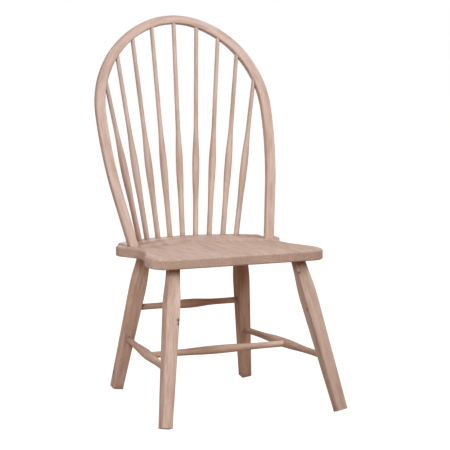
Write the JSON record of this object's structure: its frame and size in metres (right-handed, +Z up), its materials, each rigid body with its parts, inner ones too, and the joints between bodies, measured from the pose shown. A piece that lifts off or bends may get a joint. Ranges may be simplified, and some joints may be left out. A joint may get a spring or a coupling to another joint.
{
  "type": "windsor chair",
  "caption": "Bow-back windsor side chair in plain wood, with a saddled seat, turned spindles, square raked legs and an H stretcher.",
  "frame": {"origin": "on the floor under the middle of the chair's bounding box", "axes": "+Z up, -Y the way the sitter faces, +X the viewer's right when facing the chair"},
  "size_m": [0.5728, 0.628, 1.1169],
  "materials": {
    "wood": "plain sanded hardwood, no stain or varnish"
  },
  "bodies": {
    "root": {"bow": "wood", "cross_stretcher": "wood", "leg_front_left": "wood", "leg_front_right": "wood", "leg_rear_left": "wood", "leg_rear_right": "wood", "rear_stretcher": "wood", "seat_stave_1": "wood", "seat_stave_2": "wood", "seat_stave_3": "wood", "seat_stave_4": "wood", "seat_stave_5": "wood", "seat_stave_6": "wood", "seat_stave_7": "wood", "side_stretcher_left": "wood", "side_stretcher_right": "wood", "spindle_1": "wood", "spindle_2": "wood", "spindle_3": "wood", "spindle_4": "wood", "spindle_5": "wood", "spindle_6": "wood", "spindle_7": "wood", "spindle_8": "wood", "spindle_9": "wood"}
  },
  "joints": []
}
